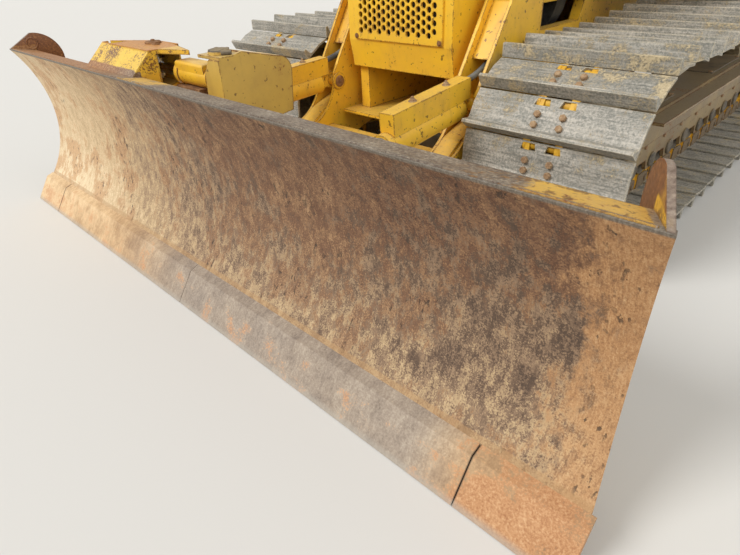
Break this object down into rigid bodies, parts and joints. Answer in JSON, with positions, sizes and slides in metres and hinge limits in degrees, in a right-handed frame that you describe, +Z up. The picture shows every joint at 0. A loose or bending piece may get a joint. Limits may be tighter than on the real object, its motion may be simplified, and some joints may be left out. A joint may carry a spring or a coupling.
{
  "type": "bulldozer",
  "caption": "Crawler bulldozer with wide tracks, a cab, and a curved power-angle-tilt blade on a C-frame with lift, angle and tilt cylinders.",
  "frame": {"origin": "on the ground under the middle of the machine's overall box", "axes": "+Z up, the blade faces -Y, +X is the machine's left side"},
  "size_m": [4.11, 5.5999, 3.13],
  "materials": {
    "yellow_paint": "worn yellow paint with chips, dust and rust spots",
    "blade_steel": "rusty brown plate scoured by soil, with pale dirt",
    "edge_steel": "worn bare steel",
    "track_steel": "grey steel with tan dirt",
    "grille_paint": "worn yellow paint",
    "dark_metal": "dull black",
    "rod_chrome": "polished",
    "cab_plastic": "moulded grain",
    "seat_cover": "woven",
    "hose_rubber": "dusty braided cover",
    "window_glass": "lightly tinted"
  },
  "bodies": {
    "machine": {"main_frame": "yellow_paint", "rear_case": "yellow_paint", "drawbar": "track_steel", "pivot_shaft": "track_steel", "track_frames": "yellow_paint", "track_rollers": "track_steel", "idlers": "track_steel", "sprockets": "track_steel", "track_left": "track_steel", "track_right": "track_steel", "radiator_guard": "yellow_paint", "front_grille": "grille_paint", "radiator_core": "dark_metal", "hood": "yellow_paint", "engine_block": "dark_metal", "exhaust_stack": "dark_metal", "air_precleaner": "cab_plastic", "cab_floor": "yellow_paint", "cab_shell": "yellow_paint", "cab_roof": "yellow_paint", "seat": "seat_cover", "consoles": "cab_plastic", "dashboard": "cab_plastic", "fenders": "yellow_paint", "fuel_tank": "yellow_paint"},
    "push_frame": {"c_frame": "yellow_paint", "hose_left": "hose_rubber", "hose_right": "hose_rubber"},
    "carrier": {"blade_carrier": "yellow_paint"},
    "blade": {"moldboard": "blade_steel", "cutting_edge": "edge_steel", "end_bits": "edge_steel", "blade_back": "yellow_paint"},
    "tilt_barrel": {"tilt_barrel": "yellow_paint"},
    "tilt_rod": {"tilt_rod": "rod_chrome"},
    "lift_barrel_left": {"lift_barrel_left": "yellow_paint"},
    "lift_rod_left": {"lift_rod_left": "rod_chrome"},
    "angle_barrel_left": {"angle_barrel_left": "yellow_paint"},
    "angle_rod_left": {"angle_rod_left": "rod_chrome"},
    "cab_door_left": {"cab_door_left": "yellow_paint"},
    "engine_door_left": {"engine_door_left": "yellow_paint"},
    "lift_barrel_right": {"lift_barrel_right": "yellow_paint"},
    "lift_rod_right": {"lift_rod_right": "rod_chrome"},
    "angle_barrel_right": {"angle_barrel_right": "yellow_paint"},
    "angle_rod_right": {"angle_rod_right": "rod_chrome"},
    "cab_door_right": {"cab_door_right": "yellow_paint"},
    "engine_door_right": {"engine_door_right": "yellow_paint"}
  },
  "joints": [
    {"name": "blade_lift", "type": "hinge", "parent": "machine", "child": "push_frame", "pos_m": [0, 0.9, 0.56], "axis": [-1, 0, 0], "range_deg": [-7, 16]},
    {"name": "blade_angle", "type": "hinge", "parent": "push_frame", "child": "carrier", "pos_m": [0, -2.24, 0.38], "axis": [0, 0, 1], "range_deg": [-25, 25]},
    {"name": "blade_tilt", "type": "hinge", "parent": "carrier", "child": "blade", "pos_m": [0, -2.24, 0.38], "axis": [0, 1, 0], "range_deg": [-5.5, 5.5]},
    {"name": "lift_cylinder_swing_left", "type": "hinge", "parent": "machine", "child": "lift_barrel_left", "pos_m": [0.556, -0.38, 1.98], "axis": [-1, 0, 0], "range_deg": [-0.48, 0.7]},
    {"name": "lift_cylinder_stroke_left", "type": "slide", "parent": "lift_barrel_left", "child": "lift_rod_left", "axis": [0, -0.2388, -0.9711], "range_m": [-0.4463, 0.1969]},
    {"name": "lift_cylinder_swing_right", "type": "hinge", "parent": "machine", "child": "lift_barrel_right", "pos_m": [-0.556, -0.38, 1.98], "axis": [-1, 0, 0], "range_deg": [-0.48, 0.7]},
    {"name": "lift_cylinder_stroke_right", "type": "slide", "parent": "lift_barrel_right", "child": "lift_rod_right", "axis": [0, -0.2388, -0.9711], "range_m": [-0.4463, 0.1969]},
    {"name": "angle_cylinder_swing_left", "type": "hinge", "parent": "push_frame", "child": "angle_barrel_left", "pos_m": [0.556, -1.19, 0.726], "axis": [0, 0, 1], "range_deg": [-1.49, 1.49]},
    {"name": "angle_cylinder_stroke_left", "type": "slide", "parent": "angle_barrel_left", "child": "angle_rod_left", "axis": [0.0587, -0.996, -0.0679], "range_m": [-0.2683, 0.2683]},
    {"name": "angle_cylinder_swing_right", "type": "hinge", "parent": "push_frame", "child": "angle_barrel_right", "pos_m": [-0.556, -1.19, 0.726], "axis": [0, 0, 1], "range_deg": [-1.49, 1.49]},
    {"name": "angle_cylinder_stroke_right", "type": "slide", "parent": "angle_barrel_right", "child": "angle_rod_right", "axis": [-0.0587, -0.996, -0.0679], "range_m": [-0.2683, 0.2683]},
    {"name": "tilt_cylinder_swing", "type": "hinge", "parent": "carrier", "child": "tilt_barrel", "pos_m": [0, -2.315, 0.985], "axis": [0, 1, 0], "range_deg": [-5.81, 5.81]},
    {"name": "tilt_cylinder_stroke", "type": "slide", "parent": "tilt_barrel", "child": "tilt_rod", "axis": [-1, 0, 0], "range_m": [-0.061, 0.061]},
    {"name": "cab_door_left", "type": "hinge", "parent": "machine", "child": "cab_door_left", "pos_m": [0.772, 1.429, 2.1], "axis": [0, 0, 1], "range_deg": [0, 90]},
    {"name": "engine_door_left", "type": "hinge", "parent": "machine", "child": "engine_door_left", "pos_m": [0.412, -0.29, 1.54], "axis": [0, 0, -1], "range_deg": [0, 90]},
    {"name": "cab_door_right", "type": "hinge", "parent": "machine", "child": "cab_door_right", "pos_m": [-0.772, 1.429, 2.1], "axis": [0, 0, -1], "range_deg": [0, 90]},
    {"name": "engine_door_right", "type": "hinge", "parent": "machine", "child": "engine_door_right", "pos_m": [-0.412, -0.29, 1.54], "axis": [0, 0, 1], "range_deg": [0, 90]}
  ],
  "couplings": [
    {"joint": "lift_cylinder_swing_left", "follows": "blade_lift", "ratio": 0.025014},
    {"joint": "lift_cylinder_stroke_left", "follows": "blade_lift", "m_per_rad": -1.5873},
    {"joint": "lift_cylinder_swing_right", "follows": "blade_lift", "ratio": 0.025014},
    {"joint": "lift_cylinder_stroke_right", "follows": "blade_lift", "m_per_rad": -1.5873},
    {"joint": "angle_cylinder_swing_left", "follows": "blade_angle", "ratio": 0.047472},
    {"joint": "angle_cylinder_stroke_left", "follows": "blade_angle", "m_per_rad": -0.60791},
    {"joint": "angle_cylinder_swing_right", "follows": "blade_angle", "ratio": 0.047472},
    {"joint": "angle_cylinder_stroke_right", "follows": "blade_angle", "m_per_rad": 0.60791},
    {"joint": "tilt_cylinder_swing", "follows": "blade_tilt", "ratio": 1.0026},
    {"joint": "tilt_cylinder_stroke", "follows": "blade_tilt", "m_per_rad": -0.60441}
  ]
}
